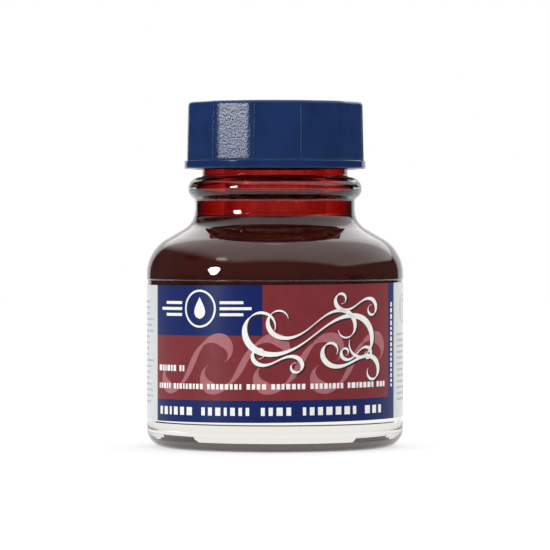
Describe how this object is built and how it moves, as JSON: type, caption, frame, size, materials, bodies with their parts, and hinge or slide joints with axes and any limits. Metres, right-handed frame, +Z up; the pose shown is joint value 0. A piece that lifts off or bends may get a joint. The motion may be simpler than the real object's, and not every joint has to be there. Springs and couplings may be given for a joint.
{
  "type": "ink bottle",
  "caption": "Small round glass ink bottle with a clear heavy base, wrap-round paper label, beaded neck and twelve-sided screw cap with a liner; dark red ink inside.",
  "frame": {"origin": "centre of the circle the bottle stands on, on the plane of its bearing ring", "axes": "+Z up the bottle's axis towards the cap; -Y out of the middle of the label's front; +X to the right of someone facing the label"},
  "size_m": [0.044, 0.044, 0.0593],
  "materials": {
    "clear_glass": "polished",
    "red_ink": "gloss",
    "printed_label": "satin",
    "blue_cap": "gloss",
    "liner_film": "satin",
    "liner_foam": "matte"
  },
  "bodies": {
    "bottle": {"glass_bottle": "clear_glass", "ink": "red_ink", "wrap_label": "printed_label"},
    "liner": {"liner_facing": "liner_film", "liner_backing": "liner_foam"},
    "cap": {"cap_shell": "blue_cap"}
  },
  "joints": [
    {"name": "cap_lift", "type": "slide", "parent": "bottle", "child": "liner", "axis": [0, 0, 1], "range_m": [0, 0.017]},
    {"name": "cap_turn", "type": "hinge", "parent": "liner", "child": "cap", "pos_m": [0, 0, 0.05], "axis": [0, 0, 1], "range_deg": [0, 1440]}
  ],
  "couplings": [
    {"joint": "cap_lift", "follows": "cap_turn", "m_per_rad": 0.00067376}
  ]
}
